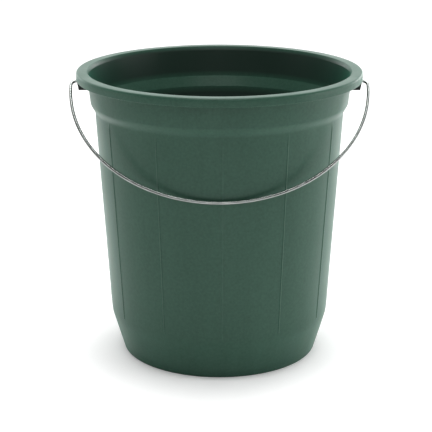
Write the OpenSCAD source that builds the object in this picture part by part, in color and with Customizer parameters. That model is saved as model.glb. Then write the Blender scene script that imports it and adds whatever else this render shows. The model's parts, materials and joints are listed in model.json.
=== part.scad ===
// Florist bucket: a tapered plastic bucket with a stepped collar, an inverted-U rim, two pivot ears
// pushed up into the rim channel, and a round wire bail that swings over the top.
// Millimetres, +Z up. The origin is the centre of the base on the surface it stands on.
// The bail's pivot axis lies along X, and the bail hangs in front, on the -Y side.

/* [Bucket] */
// Outside diameter over the rim
rim_d = 292.4; // [289:0.2:296]
// Overall height
bucket_h = 298.2; // [292:0.1:305]
// Diameter of the base at its outer corner
base_d = 204.8; // [190:0.2:212]
// Thickness of the side wall
wall_t = 1.9; // [1.4:0.1:2.4]
// Thickness of the floor
floor_t = 2.4; // [1.8:0.1:4]
// Height of the foot ring that lifts the floor
foot_h = 3; // [1.5:0.1:5]
// Width of the foot ring where it meets the surface
foot_w = 3.4; // [2.5:0.1:6]
// Rounding of the outer corner of the base
base_corner_r = 3; // [1.5:0.1:5]

/* [Side wall] */
// Height at which the steep lower taper ends
break_z = 42.6; // [30:0.1:60]
// Outer radius at that height
break_r = 114.3; // [112:0.1:116]
// Outer radius at the top of the ribbed wall
wall_top_r = 127.6; // [125:0.1:129]
// Number of raised ribs round the wall
rib_count = 12; // [6:1:24]
// Width of a rib
rib_w = 1.2; // [0.8:0.1:3]
// Height of a rib over the wall
rib_h = 0.5; // [0.4:0.1:1]
// Angle from the front to the nearest rib
rib_turn = 1.2; // [0:0.1:15]

/* [Collar and rim] */
// Distance from the top of the rim to the foot of the collar's step
step_foot_drop = 42.3; // [38:0.1:46]
// Height of the collar's step
step_h = 10.8; // [8:0.1:14]
// How much lower the step's two creases lie on the inside
inner_step_drop = 0.9; // [0:0.1:1.2]
// Outer radius of the collar at the lower edge of the rim
collar_r = 134.85; // [133:0.05:135.5]
// How much the collar's radius grows per millimetre of height
collar_draft = 0.11; // [0.02:0.01:0.15]
// Height of the rim's outer skirt
skirt_h = 8.5; // [7.5:0.05:9.5]
// Thickness of the skirt
skirt_t = 2; // [1.4:0.1:2.6]
// Thickness of the rim's flat top
rim_t = 2.2; // [1.6:0.1:2.4]
// Rounding of the rim's outer edge
rim_edge_r = 2; // [1.2:0.1:4]
// Radius of the mouth, at the inner edge of the rim's flat top
mouth_r = 135.8; // [135:0.1:136.5]
// Height over which the inside slopes out to the mouth
lip_h = 4; // [3:0.1:8]
// Rounding of the mouth's edge
lip_edge_r = 0.7; // [0.3:0.1:1.2]

/* [Ears] */
// Width of an ear
ear_w = 19; // [18:0.5:26]
// How far an ear reaches below the skirt
ear_drop = 11.7; // [11:0.05:13]
// Thickness of an ear's outer wall, which holds the wire
ear_wall_t = 2.4; // [2:0.1:2.6]
// Thickness of an ear's two cheeks
cheek_t = 1.9; // [1.4:0.1:1.9]
// How much an ear's outer face draws in towards its lower edge
ear_draft = 2.1; // [0.5:0.05:2.2]

/* [Bail] */
// Diameter of the wire
wire_d = 3.4; // [2.6:0.1:3.6]
// Height of the pivot axis below the top of the rim
pivot_drop = 12.6; // [12:0.1:13]
// Radius of the bend beside each ear, at the middle of the wire
bend_r = 5.5; // [5:0.1:8]
// Radius of the bend inside each ear, at the middle of the wire
hook_r = 3.2; // [2.4:0.1:3.4]
// Length of the straight leg that keeps the wire in the ear
hook_leg = 3.3; // [1:0.1:3.4]
// Radial clearance of the wire in its bore
pivot_clearance = 0.08; // [0.02:0.01:0.1]
// Gap between the resting bail and the front rib
bail_gap = 1; // [0.3:0.1:2]

/* [Hidden] */

FIT = 0.05;              // an ear's gap to the curved faces of the rim channel
LIP_END_A = 150;         // where the mouth's round edge meets the lip's slope
ROUND_STEPS = 6;         // segments in a small round edge
STEP_STEPS = 10;         // segments in the collar's step
WIRE_FN = 32;
REVOLVE_FN = 180;

rim_r = rim_d / 2;
base_r = base_d / 2;
wire_r = wire_d / 2;
step_foot_z = bucket_h - step_foot_drop;
step_top_z = step_foot_z + step_h;
inner_step_foot_z = step_foot_z - inner_step_drop;
inner_step_top_z = step_top_z - inner_step_drop;
skirt_z = bucket_h - skirt_h;
channel_z = bucket_h - rim_t;
channel_chamfer = 0.6;
skirt_in_r = rim_r - skirt_t;
floor_z = foot_h + floor_t;
floor_fillet_r = 5;
foot_draft = 1;
wall_slope = (wall_top_r - break_r) / (step_foot_z - break_z);

// The straight lower taper leaves the break point and is tangent to the base's round corner
corner_x = base_r - base_corner_r;
taper_dx = break_r - corner_x;
taper_dz = break_z - base_corner_r;
corner_a = atan2(taper_dz, taper_dx) - acos(base_corner_r / norm([taper_dx, taper_dz]));
taper_a = corner_a + 90;

rib_foot_gap = 4;
rib_top_gap = 2;
rib_foot_z = break_z + rib_foot_gap;
rib_top_z = step_foot_z - rib_top_gap;
rib_root = 0.6;          // how far a rib is sunk into the wall
rib_ramp = 1.2;          // height over which a rib's end fades out

ear_foot_z = skirt_z - ear_drop;
ear_roof_gap = 0.25;
ear_roof_t = 1.6;
ear_roof_z = channel_z - ear_roof_gap;
ear_chamfer = 1;
ear_inner_wall_t = 1.2;
ear_out_r = rim_r - FIT;
ear_sweep = 14;          // degrees of the blank that the cheeks are cut from

pivot_z = bucket_h - pivot_drop;
pivot_out_r = ear_out_r - ear_draft * (skirt_z - pivot_z) / ear_drop;
cavity_out_x = pivot_out_r - ear_wall_t;
cavity_half_w = ear_w / 2 - cheek_t;
cavity_roof_z = ear_roof_z - ear_roof_t;
cavity_in_x = collar_r_at(ear_roof_z) + FIT + ear_inner_wall_t;
wire_gap = 0.3;          // from the rim out to the bend, and from the ear's wall in to the hook
bend_x = rim_r + wire_gap;
hook_x = round(100 * (cavity_out_x - wire_gap)) / 100;     // whole hundredths, so the wire's pieces meet
bail_r = bend_x + bend_r;
bail_reach = bail_r + bend_r;

// The angle from straight down at which the bail rests, bail_gap clear of the front rib
wall_a = atan(wall_slope);
rest_offset = (rib_h + wire_r + bail_gap) / cos(wall_a);
rest_a = asin(cos(wall_a) * (wall_r_at(pivot_z) + rest_offset) / bail_reach) - wall_a;

function wall_r_at(z) = break_r + wall_slope * (z - break_z);
function collar_r_at(z) = collar_r - collar_draft * (skirt_z - z);
function ease(u) = u * u * (3 - 2 * u);
function step_r_at(z) =
    let (s = ease((z - step_foot_z) / step_h))
    (1 - s) * wall_r_at(z) + s * collar_r_at(z);
step_curve = [
    for (i = [0 : STEP_STEPS])
        let (z = step_foot_z + step_h * i / STEP_STEPS)
        [step_r_at(z), z]
];
function arc(x, z, r, from_a, to_a) = [
    for (i = [0 : ROUND_STEPS])
        let (a = from_a + (to_a - from_a) * i / ROUND_STEPS)
        [x + r * cos(a), z + r * sin(a)]
];

// Half of the bucket's section, from the axis out under the floor, up the outside and down the inside
inner_taper_x = break_r - wall_t - (break_z - floor_z - floor_fillet_r) / tan(taper_a);
fillet_x = inner_taper_x - floor_fillet_r / sin(taper_a);
section = concat(
    [[0, foot_h]],
    [[corner_x - foot_w - foot_draft, foot_h]],
    [[corner_x - foot_w, 0]],
    arc(corner_x, base_corner_r, base_corner_r, -90, corner_a),
    [[break_r, break_z]],
    step_curve,
    [[collar_r_at(channel_z - channel_chamfer), channel_z - channel_chamfer]],
    [[collar_r_at(channel_z) + channel_chamfer, channel_z]],
    [[skirt_in_r, channel_z]],
    [[skirt_in_r, skirt_z]],
    [[rim_r, skirt_z]],
    arc(rim_r - rim_edge_r, bucket_h - rim_edge_r, rim_edge_r, 0, 90),
    arc(mouth_r, bucket_h - lip_edge_r, lip_edge_r, 90, LIP_END_A),
    [[collar_r_at(bucket_h - lip_h) - wall_t, bucket_h - lip_h]],
    [[collar_r_at(inner_step_top_z) - wall_t, inner_step_top_z]],
    [[wall_r_at(inner_step_foot_z) - wall_t, inner_step_foot_z]],
    [[break_r - wall_t, break_z]],
    arc(fillet_x, floor_z + floor_fillet_r, floor_fillet_r, taper_a - 90, -90),
    [[0, floor_z]]
);

module rib() {
    rib_side = [
        [wall_r_at(rib_foot_z) - rib_root, rib_foot_z],
        [wall_r_at(rib_foot_z), rib_foot_z],
        [wall_r_at(rib_foot_z + rib_ramp) + rib_h, rib_foot_z + rib_ramp],
        [wall_r_at(rib_top_z - rib_ramp) + rib_h, rib_top_z - rib_ramp],
        [wall_r_at(rib_top_z), rib_top_z],
        [wall_r_at(rib_top_z) - rib_root, rib_top_z]
    ];
    rotate([90, 0, 0])
        linear_extrude(height = rib_w, center = true)
            polygon(rib_side);
}

module bucket_body() {
    color([0.20, 0.36, 0.29]) {
        rotate_extrude($fn = REVOLVE_FN)
            polygon(section);
        for (i = [0 : rib_count - 1])
            rotate([0, 0, i * 360 / rib_count - 90 + rib_turn])
                rib();
    }
}

// An ear is a block that fills the rim channel and steps out flush below the skirt.
// It is hollow, open below, and bored for the wire.
module ear() {
    ear_side = [
        [collar_r_at(ear_foot_z) + FIT, ear_foot_z],
        [ear_out_r - ear_draft, ear_foot_z],
        [ear_out_r, skirt_z],
        [skirt_in_r - FIT, skirt_z],
        [skirt_in_r - FIT, ear_roof_z - ear_chamfer],
        [skirt_in_r - FIT - ear_chamfer, ear_roof_z],
        [collar_r_at(ear_roof_z) + FIT + ear_chamfer, ear_roof_z],
        [collar_r_at(ear_roof_z - ear_chamfer) + FIT, ear_roof_z - ear_chamfer]
    ];
    difference() {
        intersection() {
            rotate_extrude(angle = ear_sweep, start = -ear_sweep / 2, $fn = REVOLVE_FN)
                polygon(ear_side);
            translate([rim_r / 2, -ear_w / 2, 0])
                cube([rim_r, ear_w, 2 * bucket_h]);
        }
        translate([cavity_in_x, -cavity_half_w, ear_foot_z - 1])
            cube([cavity_out_x - cavity_in_x, 2 * cavity_half_w, cavity_roof_z - ear_foot_z + 1]);
        translate([cavity_out_x - 1, 0, pivot_z])
            rotate([0, 90, 0])
                cylinder(r = wire_r + pivot_clearance, h = rim_r, $fn = WIRE_FN);
    }
}

module ear_left() {
    color([0.09, 0.11, 0.10])
        mirror([1, 0, 0])
            ear();
}

module ear_right() {
    color([0.09, 0.11, 0.10])
        ear();
}

// A bend of the wire in the plane of the bail, which hangs straight down here
module wire_arc(x, z, r, start_a, sweep_a) {
    translate([x, 0, z])
        rotate([90, 0, 0])
            rotate_extrude(angle = sweep_a, start = start_a, $fn = REVOLVE_FN)
                translate([r, 0])
                    circle(r = wire_r, $fn = WIRE_FN);
}

// One end of the wire: out through the ear's bore, and a short leg turned down inside the ear
module wire_end() {
    wire_arc(bend_x, -bend_r, bend_r, 0, 90);
    translate([hook_x, 0, 0])
        rotate([0, 90, 0])
            cylinder(r = wire_r, h = bend_x - hook_x, $fn = WIRE_FN);
    wire_arc(hook_x, -hook_r, hook_r, 90, 90);
    translate([hook_x - hook_r, 0, -hook_r - hook_leg])
        cylinder(r = wire_r, h = hook_leg, $fn = WIRE_FN);
}

module bail_wire() {
    color([0.72, 0.73, 0.74])
        translate([0, 0, pivot_z])
            rotate([-rest_a, 0, 0]) {
                wire_arc(0, -bend_r, bail_r, 180, 180);
                wire_end();
                mirror([1, 0, 0])
                    wire_end();
            }
}

bucket_body();
ear_left();
ear_right();
bail_wire();
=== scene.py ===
import json
import math

import bmesh
import bpy
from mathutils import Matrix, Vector


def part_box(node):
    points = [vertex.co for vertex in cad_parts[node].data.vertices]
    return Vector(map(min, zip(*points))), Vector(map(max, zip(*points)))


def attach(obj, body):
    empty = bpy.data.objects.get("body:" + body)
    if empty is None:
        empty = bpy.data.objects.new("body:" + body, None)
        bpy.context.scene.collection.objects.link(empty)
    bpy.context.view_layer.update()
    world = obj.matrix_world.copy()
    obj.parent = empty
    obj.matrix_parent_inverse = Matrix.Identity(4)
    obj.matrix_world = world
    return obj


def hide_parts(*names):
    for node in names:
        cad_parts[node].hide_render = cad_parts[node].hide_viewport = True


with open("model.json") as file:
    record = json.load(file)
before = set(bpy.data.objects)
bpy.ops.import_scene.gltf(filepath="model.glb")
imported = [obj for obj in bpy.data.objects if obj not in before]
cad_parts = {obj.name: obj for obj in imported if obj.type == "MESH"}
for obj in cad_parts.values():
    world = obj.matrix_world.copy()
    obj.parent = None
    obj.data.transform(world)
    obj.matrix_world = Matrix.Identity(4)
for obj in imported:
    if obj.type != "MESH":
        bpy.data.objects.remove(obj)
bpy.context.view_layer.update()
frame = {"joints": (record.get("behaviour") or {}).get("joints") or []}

MM = 0.001
NEAR = 0.01 * MM            # closer than this counts as the same place

# ---------------------------------------------------------------- sizes, in metres
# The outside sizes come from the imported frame; the rest are the bucket's own section.
BODY_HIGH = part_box("bucket_body")[1]
EAR_LOW, EAR_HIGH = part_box("ear_right")
BAIL_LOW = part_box("bail_wire")[0]
SWING = next(j for j in frame["joints"] if j["name"] == "bail_swing")
PIVOT_Z = SWING["pos_m"][2]
RIM_R = BODY_HIGH.x
TOP_Z = BODY_HIGH.z

BASE_R = 102.4 * MM
BASE_CORNER_R = 3 * MM
WALL_T = 1.9 * MM
FLOOR_Z = 5.4 * MM
FOOT_H = 3 * MM
FOOT_W = 3.4 * MM
BREAK_Z = 42.6 * MM
BREAK_R = 114.3 * MM
BREAK_ROUND = 45 * MM
WALL_TOP_R = 127.6 * MM
STEP_FOOT_Z = TOP_Z - 42.3 * MM
STEP_H = 10.8 * MM
INNER_STEP_DROP = 0.9 * MM
STEP_MARGIN = 3 * MM        # the inner step, left without the painted inner shade, starts this far below the outer step's foot
CREASE_ROUND = 0.7 * MM
COLLAR_R = 134.85 * MM
COLLAR_DRAFT = 0.11
SKIRT_Z = TOP_Z - 8.5 * MM
SKIRT_T = 2 * MM
RIM_T = 2.2 * MM
RIM_EDGE_R = 2 * MM
MOUTH_R = 135.2 * MM
LIP_H = 4 * MM
LIP_EDGE_R = 0.9 * MM

RIBS = 12
RIB_TURN = math.radians(1.2)
RIB_H = 0.5 * MM
RIB_FLAT = 0.1 * MM         # half the width of a rib's flat crown
RIB_FLANK = 0.85 * MM       # width of each flank, from the crown down to the wall
RIB_RAMP = 1.6 * MM
RIB_FOOT_Z = BREAK_Z + 4 * MM
RIB_TOP_Z = STEP_FOOT_Z - 2 * MM

GATE_R = 1.6 * MM           # the moulding gate's stub in the middle of the underside
GATE_H = 0.7 * MM
GATE_DISH_R = 9 * MM
GATE_DISH_H = 0.6 * MM

WIRE_R = 1.7 * MM
WIRE_GAP = 0.3 * MM         # from the rim out to the bend, and from the ear's wall in to the hook
WIRE_END_ROUND = 0.35 * MM
BEND_R = 5.5 * MM
BEND_X = RIM_R + WIRE_GAP
BAIL_R = BEND_X + BEND_R
HOOK_R = 3.2 * MM
HOOK_LEG = 3.3 * MM

EAR_W = EAR_HIGH.y - EAR_LOW.y
EAR_FOOT_Z = EAR_LOW.z
EAR_ROOF_Z = EAR_HIGH.z
EAR_WALL_T = 2.4 * MM
EAR_CHEEK_T = 1.9 * MM
EAR_INNER_T = 1.2 * MM
EAR_ROOF_T = 1.6 * MM
EAR_DRAFT = 2.1 * MM
EAR_FIT = 0.05 * MM         # an ear's gap to the curved faces of the rim channel
EAR_EDGE = 0.22 * MM
EAR_SLOPE = EAR_DRAFT / (SKIRT_Z - EAR_FOOT_Z)
PIVOT_OUT_X = RIM_R - EAR_FIT - EAR_SLOPE * (SKIRT_Z - PIVOT_Z)
BORE_R = 1.78 * MM

WALL_SLOPE = (WALL_TOP_R - BREAK_R) / (STEP_FOOT_Z - BREAK_Z)


# ---------------------------------------------------------------- outlines
def wall_r(z):
    return BREAK_R + WALL_SLOPE * (z - BREAK_Z)


def collar_r(z):
    return COLLAR_R - COLLAR_DRAFT * (SKIRT_Z - z)


def ease(u):
    u = min(max(u, 0.0), 1.0)
    return u * u * (3 - 2 * u)


def step_points(count=14):
    """The outside of the collar's step, where the wall's line eases into the collar's."""
    points = []
    for k in range(count + 1):
        z = STEP_FOOT_Z + STEP_H * k / count
        share = ease(k / count)
        points.append(((1 - share) * wall_r(z) + share * collar_r(z), z, 0))
    return points


def rounded(corners, steps=6):
    """The outline through corners, each (r, z, rounding), with an arc of that radius at each one."""
    points = [Vector(corners[0][:2])]
    for before, here, after in zip(corners, corners[1:], corners[2:]):
        corner = Vector(here[:2])
        if here[2] == 0:
            points.append(corner)
            continue
        back = (Vector(before[:2]) - corner).normalized()
        ahead = (Vector(after[:2]) - corner).normalized()
        half = back.angle(ahead) / 2
        centre = corner + (back + ahead).normalized() * (here[2] / math.sin(half))
        reach = here[2] / math.tan(half)
        spoke = corner + back * reach - centre
        end = corner + ahead * reach - centre
        turn = math.atan2(spoke.x * end.y - spoke.y * end.x, spoke.dot(end))
        for k in range(steps + 1):
            a = turn * k / steps
            points.append(centre + Vector((spoke.x * math.cos(a) - spoke.y * math.sin(a),
                                           spoke.x * math.sin(a) + spoke.y * math.cos(a))))
    points.append(Vector(corners[-1][:2]))
    return points


def subdivided(points, longest):
    """points with more between any two that are further apart than longest(middle) allows."""
    out = [points[0]]
    for a, b in zip(points, points[1:]):
        n = max(1, math.ceil((b - a).length / longest((a + b) / 2) - 1e-6))
        out.extend(a.lerp(b, k / n) for k in range(1, n + 1))
    return out


def on_ribbed_wall(point):
    r, z = point
    return RIB_FOOT_Z - MM < z < RIB_TOP_Z + MM and r > wall_r(z) - WALL_T / 2


def bucket_spacing(point):
    """Rows lie close together only where a rib's end fades out."""
    from_end = min(abs(point.y - RIB_FOOT_Z), abs(point.y - RIB_TOP_Z))
    return 0.45 * MM if on_ribbed_wall(point) and from_end < RIB_RAMP + MM else 7 * MM


def bucket_outline():
    """Half of the section: from the axis out under the floor, up the outside and down the inside."""
    foot_x = BASE_R - BASE_CORNER_R
    lean = Vector((BREAK_R - foot_x, BREAK_Z - BASE_CORNER_R))
    taper = math.atan2(lean.y, lean.x) - math.acos(BASE_CORNER_R / lean.length) + math.pi / 2
    under_x = BREAK_R - BREAK_Z / math.tan(taper)
    inside_x = BREAK_R - WALL_T - (BREAK_Z - FLOOR_Z) / math.tan(taper)
    inner_foot_z = STEP_FOOT_Z - INNER_STEP_DROP
    inner_top_z = inner_foot_z + STEP_H
    return rounded(
        [(0, FOOT_H + GATE_DISH_H - GATE_H, 0),
         (GATE_R, FOOT_H + GATE_DISH_H - GATE_H, 0.3 * MM),
         (GATE_R + 0.2 * MM, FOOT_H + GATE_DISH_H, 0.2 * MM),
         (GATE_DISH_R - MM, FOOT_H + GATE_DISH_H, 0.8 * MM),
         (GATE_DISH_R, FOOT_H, 0.5 * MM),
         (foot_x - FOOT_W - MM, FOOT_H, 0.8 * MM),
         (foot_x - FOOT_W, 0, 0.6 * MM),
         (under_x, 0, BASE_CORNER_R),
         (BREAK_R, BREAK_Z, BREAK_ROUND)]
        + step_points()
        + [(collar_r(TOP_Z - RIM_T), TOP_Z - RIM_T, 0.8 * MM),
           (RIM_R - SKIRT_T, TOP_Z - RIM_T, 0.8 * MM),
           (RIM_R - SKIRT_T, SKIRT_Z, 0.4 * MM),
           (RIM_R, SKIRT_Z, 0.6 * MM),
           (RIM_R, TOP_Z, RIM_EDGE_R),
           (MOUTH_R, TOP_Z, LIP_EDGE_R),
           (collar_r(TOP_Z - LIP_H) - WALL_T, TOP_Z - LIP_H, 2 * MM),
           (collar_r(inner_top_z) - WALL_T, inner_top_z, CREASE_ROUND),
           (wall_r(inner_foot_z) - WALL_T, inner_foot_z, CREASE_ROUND),
           (BREAK_R - WALL_T, BREAK_Z, BREAK_ROUND),
           (inside_x, FLOOR_Z, 5 * MM),
           (0, FLOOR_Z, 0)])


def rib_height(z, aside):
    """Height of the nearest rib over the wall at height z, aside metres from the rib's middle."""
    across = ease(1 - (abs(aside) - RIB_FLAT) / RIB_FLANK)
    along = ease((z - RIB_FOOT_Z) / RIB_RAMP) * ease((RIB_TOP_Z - z) / RIB_RAMP)
    return RIB_H * across * along


# ---------------------------------------------------------------- meshes
def new_piece(name, bm, sharp_above=math.radians(180)):
    """Turns bm into a smooth-shaded object, with hard edges where faces meet above that angle."""
    bmesh.ops.recalc_face_normals(bm, faces=bm.faces)
    for face in bm.faces:
        face.smooth = True
    for edge in bm.edges:
        edge.smooth = edge.calc_face_angle(0) < sharp_above
    mesh = bpy.data.meshes.new(name)
    bm.to_mesh(mesh)
    bm.free()
    piece = bpy.data.objects.new(name, mesh)
    bpy.context.scene.collection.objects.link(piece)
    return piece


def bridge(bm, ring, following):
    """Quads between two closed rows of vertices; a row of one vertex is a tip."""
    count = max(len(ring), len(following))
    for k in range(count):
        n = (k + 1) % count
        corners = [ring[k % len(ring)], ring[n % len(ring)],
                   following[n % len(following)], following[k % len(following)]]
        bm.faces.new(list(dict.fromkeys(corners)))


def bucket_columns():
    """(angle, distance from the nearest rib's middle) of each column, dense over the ribs."""
    pitch = 2 * math.pi / RIBS
    mean_r = (wall_r(RIB_FOOT_Z) + wall_r(RIB_TOP_Z)) / 2
    flank_steps = 5
    half = [0, RIB_FLAT / 2] + [RIB_FLAT + RIB_FLANK * k / flank_steps for k in range(flank_steps + 1)]
    half.append(RIB_FLAT + 1.5 * RIB_FLANK)
    over_rib = [-x for x in half[:0:-1]] + half
    plain = 17
    gap = pitch * mean_r - 2 * half[-1]
    offsets = over_rib + [half[-1] + gap * k / plain for k in range(1, plain)]
    columns = []
    for rib in range(RIBS):
        middle = rib * pitch - math.pi / 2 + RIB_TURN
        columns.extend((middle + x / mean_r, x) for x in offsets)
    return columns


def bucket_mesh():
    """The turned body with its ribs. The attribute inside is 1 on the inner walls and floor, 0 elsewhere
    and on the inner step. Where it is 1, the material paints shade into the colour; the inner step keeps
    the outer colour because it catches the light."""
    bm = bmesh.new()
    inside = bm.verts.layers.float.new("inside")
    columns = bucket_columns()
    rows = []
    past_rim = False
    for point in subdivided(bucket_outline(), bucket_spacing):
        r, z = point
        past_rim = past_rim or z > TOP_Z - NEAR
        if r < NEAR:
            tip = bm.verts.new((0, 0, z))
            tip[inside] = float(past_rim)
            rows.append([tip])
            continue
        ribbed = on_ribbed_wall(point)
        row = []
        # painted shade: shaded vertices get the darker inner colour, except on the lit inner step and the
        # lip
        on_step = STEP_FOOT_Z - STEP_MARGIN < z < STEP_FOOT_Z + STEP_H
        shaded = past_rim and z < TOP_Z - LIP_EDGE_R and not on_step
        for angle, aside in columns:
            at = r + (rib_height(z, aside) if ribbed else 0)
            vert = bm.verts.new((at * math.cos(angle), at * math.sin(angle), z))
            vert[inside] = float(shaded)
            row.append(vert)
        rows.append(row)
    for row, following in zip(rows, rows[1:]):
        bridge(bm, row, following)
    return new_piece("bucket", bm)


def bail_path():
    """The middle of the wire from the left hook to the right one, as (x, distance from the pivot axis)."""
    def bend(x, d, r, from_a, to_a, steps):
        angles = (math.radians(from_a + (to_a - from_a) * k / steps) for k in range(steps + 1))
        return [(x + r * math.cos(a), d + r * math.sin(a)) for a in angles]

    hook_x = PIVOT_OUT_X - EAR_WALL_T - WIRE_GAP
    right = [(hook_x - HOOK_R, HOOK_R + HOOK_LEG * k / 3) for k in (3, 2, 1)]
    right += bend(hook_x, HOOK_R, HOOK_R, 180, 270, 10)
    right += bend(BEND_X, BEND_R, BEND_R, 270, 360, 14)
    left = [(-x, d) for x, d in right]
    return left + bend(0, BEND_R, BAIL_R, 180, 0, 200)[1:-1] + right[::-1]


def bail_mesh():
    """The wire swept along its path. wire_place holds (distance along the wire, place across it)."""
    around = 28
    reach = BAIL_R + BEND_R
    rest = math.acos((PIVOT_Z - BAIL_LOW.z - WIRE_R) / reach)
    down = Vector((0, -math.sin(rest), -math.cos(rest)))
    normal = Vector((0, math.cos(rest), -math.sin(rest)))
    points = [Vector((x, 0, PIVOT_Z)) + down * d for x, d in bail_path()]
    stops = []
    for i, point in enumerate(points):
        tangent = (points[min(i + 1, len(points) - 1)] - points[max(i - 1, 0)]).normalized()
        stops.append((point, tangent, WIRE_R))
    for first, inward in ((True, 1), (False, -1)):
        tip, tangent, _ = stops[0 if first else -1]
        lip = [(tip, tangent, WIRE_R - WIRE_END_ROUND)] + [
            (tip + tangent * inward * WIRE_END_ROUND * (1 - math.cos(math.radians(a))), tangent,
             WIRE_R - WIRE_END_ROUND * (1 - math.sin(math.radians(a)))) for a in (30, 60, 90)]
        stops = lip + stops[1:] if first else stops[:-1] + lip[::-1]
    bm = bmesh.new()
    place = bm.verts.layers.float_vector.new("wire_place")
    rings = []
    along = 0
    for i, (point, tangent, r) in enumerate(stops):
        if i:
            along += (point - stops[i - 1][0]).length
        side = tangent.cross(normal)
        ring = []
        for k in range(around):
            a = 2 * math.pi * k / around
            vert = bm.verts.new(point + r * (math.cos(a) * normal + math.sin(a) * side))
            vert[place] = (along, r * math.cos(a), r * math.sin(a))
            ring.append(vert)
        rings.append(ring)
    for ring, following in zip(rings, rings[1:]):
        bridge(bm, ring, following)
    bm.faces.new(rings[0])
    bm.faces.new(rings[-1])
    return new_piece("bail", bm, math.radians(60))


def ear_block():
    """The ear's outside: a block that fills the rim channel and steps out flush below the skirt."""
    across = 16
    fit_r = RIM_R - EAR_FIT
    roof_in = collar_r(EAR_ROOF_Z) + EAR_FIT
    outline = rounded(
        [(fit_r - EAR_DRAFT / 2, (EAR_FOOT_Z + SKIRT_Z) / 2, 0),
         (fit_r, SKIRT_Z, 0.4 * MM),
         (RIM_R - SKIRT_T - EAR_FIT, SKIRT_Z, 0.3 * MM),
         (RIM_R - SKIRT_T - EAR_FIT, EAR_ROOF_Z, 1.1 * MM),
         (roof_in, EAR_ROOF_Z, 1.1 * MM),
         (collar_r(EAR_FOOT_Z) + EAR_FIT, EAR_FOOT_Z, 0.3 * MM),
         (fit_r - EAR_DRAFT, EAR_FOOT_Z, 0.5 * MM),
         (fit_r - EAR_DRAFT / 2, (EAR_FOOT_Z + SKIRT_Z) / 2, 0)], steps=4)[:-1]
    bm = bmesh.new()
    rings = []
    for k in range(across + 1):
        y = EAR_W * (k / across - 0.5)
        rings.append([bm.verts.new((math.sqrt(r * r - y * y), y, z)) for r, z in outline])
    for ring, following in zip(rings, rings[1:]):
        bridge(bm, ring, following)
    bm.faces.new(rings[0])
    bm.faces.new(rings[-1])
    return new_piece("ear_block", bm)


def box_piece(name, low, high):
    bm = bmesh.new()
    bmesh.ops.create_cube(bm, size=1)
    for vert in bm.verts:
        vert.co = Vector(low[i] if vert.co[i] < 0 else high[i] for i in range(3))
    return new_piece(name, bm)


def bore_piece(name, r, from_x, to_x, z, around=48):
    bm = bmesh.new()
    rings = []
    for x in (from_x, to_x):
        angles = (2 * math.pi * k / around for k in range(around))
        rings.append([bm.verts.new((x, r * math.cos(a), z + r * math.sin(a))) for a in angles])
    bridge(bm, *rings)
    bm.faces.new(rings[0])
    bm.faces.new(rings[1])
    return new_piece(name, bm)


def applied(piece):
    """Bakes the modifiers of piece into its mesh."""
    graph = bpy.context.evaluated_depsgraph_get()
    piece.data = bpy.data.meshes.new_from_object(piece.evaluated_get(graph), depsgraph=graph)
    piece.modifiers.clear()
    return piece


def ear_mesh():
    """The right ear: the block, hollowed from below, bored for the wire, with its edges rounded off."""
    block = ear_block()
    half_w = EAR_W / 2 - EAR_CHEEK_T
    cavity = box_piece(
        "ear_cavity",
        (collar_r(EAR_ROOF_Z) + EAR_FIT + EAR_INNER_T, -half_w, EAR_FOOT_Z - MM),
        (PIVOT_OUT_X - EAR_WALL_T, half_w, EAR_ROOF_Z - EAR_ROOF_T))
    bore = bore_piece("ear_bore", BORE_R, PIVOT_OUT_X - EAR_WALL_T - MM, RIM_R + MM, PIVOT_Z)
    for cutter in (cavity, bore):
        cut = block.modifiers.new(cutter.name, "BOOLEAN")
        cut.operation = "DIFFERENCE"
        cut.solver = "EXACT"
        cut.object = cutter
    soften = block.modifiers.new("soften", "BEVEL")
    soften.width = EAR_EDGE
    soften.segments = 2
    soften.limit_method = "ANGLE"
    soften.angle_limit = math.radians(50)
    soften.harden_normals = True
    applied(block)
    for cutter in (cavity, bore):
        bpy.data.objects.remove(cutter)
    return block


def mirrored(piece, name):
    """A copy of piece on the other side of the plane x = 0."""
    bm = bmesh.new()
    bm.from_mesh(piece.data)
    for vert in bm.verts:
        vert.co.x = -vert.co.x
    bmesh.ops.reverse_faces(bm, faces=bm.faces)
    return new_piece(name, bm, math.radians(50))


# ---------------------------------------------------------------- materials
GRAIN_H = 0.05 * MM
SWELL_H = 0.1 * MM
DRAWN_LINE_H = 0.02 * MM
PLASTIC_IOR = 1.49
PLASTIC_GLOSS = 0.2         # specular level
SHEEN = 0.1
SHEEN_ROUGHNESS = 0.5
SHEEN_TINT = (0.1, 1, 0.6, 1)


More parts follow.
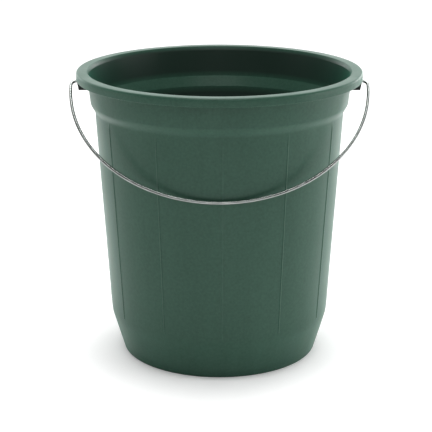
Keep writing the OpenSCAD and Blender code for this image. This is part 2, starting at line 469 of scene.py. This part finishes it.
class Nodes:
    """A material's node tree, with short ways to add and join nodes."""

    def __init__(self, name):
        self.material = bpy.data.materials.new(name)
        self.material.use_nodes = True
        self.tree = self.material.node_tree
        self.shader = self.tree.nodes["Principled BSDF"]

    def add(self, kind, **settings):
        node = self.tree.nodes.new(kind)
        for name, value in settings.items():
            setattr(node, name, value)
        return node

    def link(self, source, target):
        self.tree.links.new(source, target)

    def object_place(self, scale):
        """The place on the object in metres, stretched by scale along X, Y and Z."""
        place = self.add("ShaderNodeTexCoord")
        mapping = self.add("ShaderNodeMapping")
        mapping.inputs["Scale"].default_value = scale
        self.link(place.outputs["Object"], mapping.inputs["Vector"])
        return mapping.outputs["Vector"]

    def noise(self, place, scale, detail=3.0, roughness=0.5):
        node = self.add("ShaderNodeTexNoise")
        node.inputs["Scale"].default_value = scale
        node.inputs["Detail"].default_value = detail
        node.inputs["Roughness"].default_value = roughness
        self.link(place, node.inputs["Vector"])
        return node.outputs["Fac"]

    def spread(self, value, from_low, from_high, to_low, to_high):
        node = self.add("ShaderNodeMapRange")
        for name, number in zip(("From Min", "From Max", "To Min", "To Max"),
                                (from_low, from_high, to_low, to_high)):
            node.inputs[name].default_value = number
        self.link(value, node.inputs["Value"])
        return node.outputs["Result"]

    def mix(self, share, a, b):
        """Colour a where share is 0 and b where it is 1."""
        node = self.add("ShaderNodeMix", data_type="RGBA")
        self.link(share, node.inputs["Factor"])
        for socket, colour in ((node.inputs[6], a), (node.inputs[7], b)):
            if isinstance(colour, tuple):
                socket.default_value = (*colour, 1)
            else:
                self.link(colour, socket)
        return node.outputs[2]

    def maths(self, operation, a, b):
        node = self.add("ShaderNodeMath", operation=operation)
        for socket, value in zip(node.inputs, (a, b)):
            if isinstance(value, (int, float)):
                socket.default_value = value
            else:
                self.link(value, socket)
        return node.outputs[0]

    def bump(self, height, distance, strength=1.0, onto=None):
        node = self.add("ShaderNodeBump")
        node.inputs["Distance"].default_value = distance
        node.inputs["Strength"].default_value = strength
        self.link(height, node.inputs["Height"])
        if onto is not None:
            self.link(onto, node.inputs["Normal"])
        return node.outputs["Normal"]


def moulded_plastic(name, deep, pale, rough_low, rough_high, inner=None):
    """Satin moulded plastic: soft clouds, faint flow streaks up the wall, flecks, a fine grain and gloss
    changes. Where the mesh's attribute inside is 1, the colour is inner, if one is given: a darker colour
    that paints shade onto the inside."""
    n = Nodes(name)
    clouds = n.noise(n.object_place((1, 1, 1)), 9, 3)
    streaks = n.noise(n.object_place((55, 55, 5)), 1, 3)
    flecks = n.noise(n.object_place((1, 1, 1)), 380, 2)
    tone = n.maths("ADD", n.maths("MULTIPLY", clouds, 0.25), n.maths("MULTIPLY", streaks, 0.25))
    tone = n.maths("ADD", tone, n.maths("MULTIPLY", flecks, 0.5))
    colour = n.mix(n.spread(tone, 0.35, 0.65, 0, 1), deep, pale)
    # painted shade: the inner colour darkens the inside as if shaded
    if inner is not None:
        inside = n.add("ShaderNodeAttribute", attribute_name="inside")
        colour = n.mix(inside.outputs["Fac"], colour, inner)
    n.link(colour, n.shader.inputs["Base Color"])
    rough = n.spread(n.noise(n.object_place((1, 1, 0.35)), 34, 4), 0.3, 0.7, rough_low, rough_high)
    n.link(rough, n.shader.inputs["Roughness"])
    grain = n.bump(n.noise(n.object_place((1, 1, 1)), 420, 2), GRAIN_H, 0.3)
    swell = n.bump(n.noise(n.object_place((1, 1, 0.4)), 24, 1), SWELL_H, 0.5, onto=grain)
    n.link(swell, n.shader.inputs["Normal"])
    n.shader.inputs["IOR"].default_value = PLASTIC_IOR
    n.shader.inputs["Specular IOR Level"].default_value = PLASTIC_GLOSS
    n.shader.inputs["Sheen Weight"].default_value = SHEEN
    n.shader.inputs["Sheen Roughness"].default_value = SHEEN_ROUGHNESS
    n.shader.inputs["Sheen Tint"].default_value = SHEEN_TINT
    return n.material


def galvanised_wire(name):
    """Drawn steel wire with a dulled zinc coat: lengthwise drawing lines and patchy gloss."""
    n = Nodes(name)
    place = n.add("ShaderNodeAttribute", attribute_name="wire_place")

    def stretched(scale):
        mapping = n.add("ShaderNodeMapping")
        mapping.inputs["Scale"].default_value = scale
        n.link(place.outputs["Vector"], mapping.inputs["Vector"])
        return mapping.outputs["Vector"]

    lines = n.noise(stretched((20, 1500, 1500)), 1, 2)
    patches = n.noise(stretched((60, 300, 300)), 1, 3)
    n.link(n.mix(n.spread(patches, 0.3, 0.7, 0, 1), (0.24, 0.26, 0.25), (0.34, 0.36, 0.35)),
           n.shader.inputs["Base Color"])
    dull = n.maths("ADD", n.maths("MULTIPLY", lines, 0.5), n.maths("MULTIPLY", patches, 0.5))
    n.link(n.spread(dull, 0.3, 0.7, 0.16, 0.3), n.shader.inputs["Roughness"])
    n.link(n.bump(lines, DRAWN_LINE_H, 0.25), n.shader.inputs["Normal"])
    n.shader.inputs["Metallic"].default_value = 1
    return n.material


def pale_floor(name):
    """Matt white. The camera sees it a little brighter than its light makes it."""
    n = Nodes(name)
    tone = n.noise(n.object_place((1, 1, 1)), 3, 2)
    n.link(n.mix(tone, (0.90, 0.90, 0.90), (0.92, 0.92, 0.92)), n.shader.inputs["Base Color"])
    n.shader.inputs["Roughness"].default_value = 0.9
    n.shader.inputs["Specular IOR Level"].default_value = 0
    n.shader.inputs["Emission Color"].default_value = (1, 1, 1, 1)
    ray = n.add("ShaderNodeLightPath")
    lift = n.maths("MULTIPLY", ray.outputs["Is Camera Ray"], FLOOR_LIFT)
    n.link(lift, n.shader.inputs["Emission Strength"])
    return n.material


# ---------------------------------------------------------------- the object
def finished(piece, material, body, node):
    piece.data.materials.clear()
    piece.data.materials.append(material)
    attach(piece, body)
    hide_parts(node)


# inner is painted shade: the inner walls and floor are darkened to look shaded, not moulded in another
# colour
green_painted_inner_shade = moulded_plastic("green_plastic", (0.0285, 0.0720, 0.0500), (0.0395, 0.0940, 0.0660), 0.3, 0.38,
                        inner=(0.022, 0.038, 0.030))
# the ears' near-black is partly their own dark plastic and partly painted shade, standing in for the shade
# under the rim
dark_plastic_and_shade = moulded_plastic("dark_plastic", (0.009, 0.013, 0.011), (0.013, 0.018, 0.015), 0.38, 0.52)
steel = galvanised_wire("galvanised_wire")

finished(bucket_mesh(), green_painted_inner_shade, "bucket", "bucket_body")
right_ear = ear_mesh()
right_ear.name = "ear_right_insert"
left_ear = mirrored(right_ear, "ear_left_insert")
finished(right_ear, dark_plastic_and_shade, "bucket", "ear_right")
finished(left_ear, dark_plastic_and_shade, "bucket", "ear_left")
finished(bail_mesh(), steel, "bail", "bail_wire")


# ---------------------------------------------------------------- the stage, in metres
FLOOR_R = 6
FLOOR_LIFT = 0.19           # brightness added for the camera only
# direction, cosine where it starts, cosine where it is full, strength
WORLD_LOBES = (
    ((0, 1, 0), 0, 0.9, 1.5),
    ((0, 0, 1), 0.2, 0.95, 0.4),
)
# name, place, point it faces, size, watts
LAMPS = (
    ("overhead", (0, -0.15, 1.6), (0, 0, 0.2), (0.6, 0.6), 12),
    ("front_top", (0, -1.45, 1.25), (0, 0, 0.15), (1.2, 0.5), 4.0),
    ("front_small", (0.03, -1.9, 0.85), (0, 0, 0.2), (0.16, 0.16), 0.6),
    ("behind_left", (-0.9, 1.1, 0.35), (0, 0, 0.15), (0.8, 0.5), 1.8),
    ("behind_right", (0.9, 1.1, 0.35), (0, 0, 0.15), (0.8, 0.5), 4.2),
    ("side_left", (-1.4, -0.15, 0.33), (0, 0, 0.15), (0.8, 0.5), 1.2),
    ("side_right", (1.4, -0.15, 0.33), (0, 0, 0.15), (0.8, 0.5), 4.3),
    ("side_right_back", (1.3, 0.45, 0.33), (0, 0, 0.15), (1.0, 0.5), 1.6),
)
FLOOR_LAMPS = (
    ("floor_overhead", (0, 0, 2.2), (0, 0, 0), (1.4, 1.4), 15),
    ("floor_back", (0, 1.9, 2.0), (0, 1.9, 0), (3, 1.5), 18),
)


def aim(piece, at):
    piece.rotation_euler = (Vector(at) - piece.location).to_track_quat("-Z", "Y").to_euler()


def soft_light(name, place, at, size, watts):
    lamp = bpy.data.lights.new(name, "AREA")
    lamp.shape = "RECTANGLE"
    lamp.size, lamp.size_y = size
    lamp.energy = watts
    holder = bpy.data.objects.new(name, lamp)
    holder.location = place
    bpy.context.scene.collection.objects.link(holder)
    aim(holder, at)
    return holder


def studio_floor():
    bm = bmesh.new()
    bmesh.ops.create_circle(bm, cap_ends=True, radius=FLOOR_R, segments=64)
    floor = new_piece("floor", bm)
    floor.data.materials.append(pale_floor("floor_white"))
    return floor


def studio_world(lobes):
    """White for the camera; for the object, soft lobes of light."""
    world = bpy.data.worlds.new("studio")
    bpy.context.scene.world = world
    world.use_nodes = True
    tree = world.node_tree
    tree.nodes.clear()
    place = tree.nodes.new("ShaderNodeTexCoord")
    total = tree.nodes.new("ShaderNodeValue")
    total.outputs[0].default_value = 0
    for direction, start, full, strength in lobes:
        cosine = tree.nodes.new("ShaderNodeVectorMath")
        cosine.operation = "DOT_PRODUCT"
        cosine.inputs[1].default_value = Vector(direction).normalized()
        tree.links.new(place.outputs["Generated"], cosine.inputs[0])
        lobe = tree.nodes.new("ShaderNodeMapRange")
        lobe.interpolation_type = "SMOOTHSTEP"
        for name, number in zip(("From Min", "From Max", "To Min", "To Max"), (start, full, 0, strength)):
            lobe.inputs[name].default_value = number
        tree.links.new(cosine.outputs["Value"], lobe.inputs["Value"])
        added = tree.nodes.new("ShaderNodeMath")
        tree.links.new(total.outputs[0], added.inputs[0])
        tree.links.new(lobe.outputs["Result"], added.inputs[1])
        total = added
    around = tree.nodes.new("ShaderNodeBackground")
    tree.links.new(total.outputs[0], around.inputs["Strength"])
    plain = tree.nodes.new("ShaderNodeBackground")
    ray = tree.nodes.new("ShaderNodeLightPath")
    for shader in (around, plain):
        shader.inputs["Color"].default_value = (1, 1, 1, 1)
    mix = tree.nodes.new("ShaderNodeMixShader")
    tree.links.new(ray.outputs["Is Camera Ray"], mix.inputs["Fac"])
    tree.links.new(around.outputs["Background"], mix.inputs[1])
    tree.links.new(plain.outputs["Background"], mix.inputs[2])
    out = tree.nodes.new("ShaderNodeOutputWorld")
    tree.links.new(mix.outputs["Shader"], out.inputs["Surface"])


def studio_camera():
    """In front, a little above the rim."""
    rise = math.radians(16.83)
    distance = 1.48736
    lens_mm = 117.47
    look_at = Vector((-0.00352, 0, 0.14099))
    cam = bpy.data.objects.new("camera", bpy.data.cameras.new("camera"))
    cam.data.lens = lens_mm
    cam.data.sensor_width = 36
    cam.location = look_at + Vector((0, -math.cos(rise), math.sin(rise))) * distance
    bpy.context.scene.collection.objects.link(cam)
    aim(cam, look_at)
    bpy.context.scene.camera = cam


floor_only = bpy.data.collections.new("floor_only")
floor_only.objects.link(studio_floor())
studio_world(WORLD_LOBES)
studio_camera()
for lamp in LAMPS:
    soft_light(*lamp)
for lamp in FLOOR_LAMPS:
    soft_light(*lamp).light_linking.receiver_collection = floor_only
bpy.context.scene.view_settings.view_transform = "Standard"
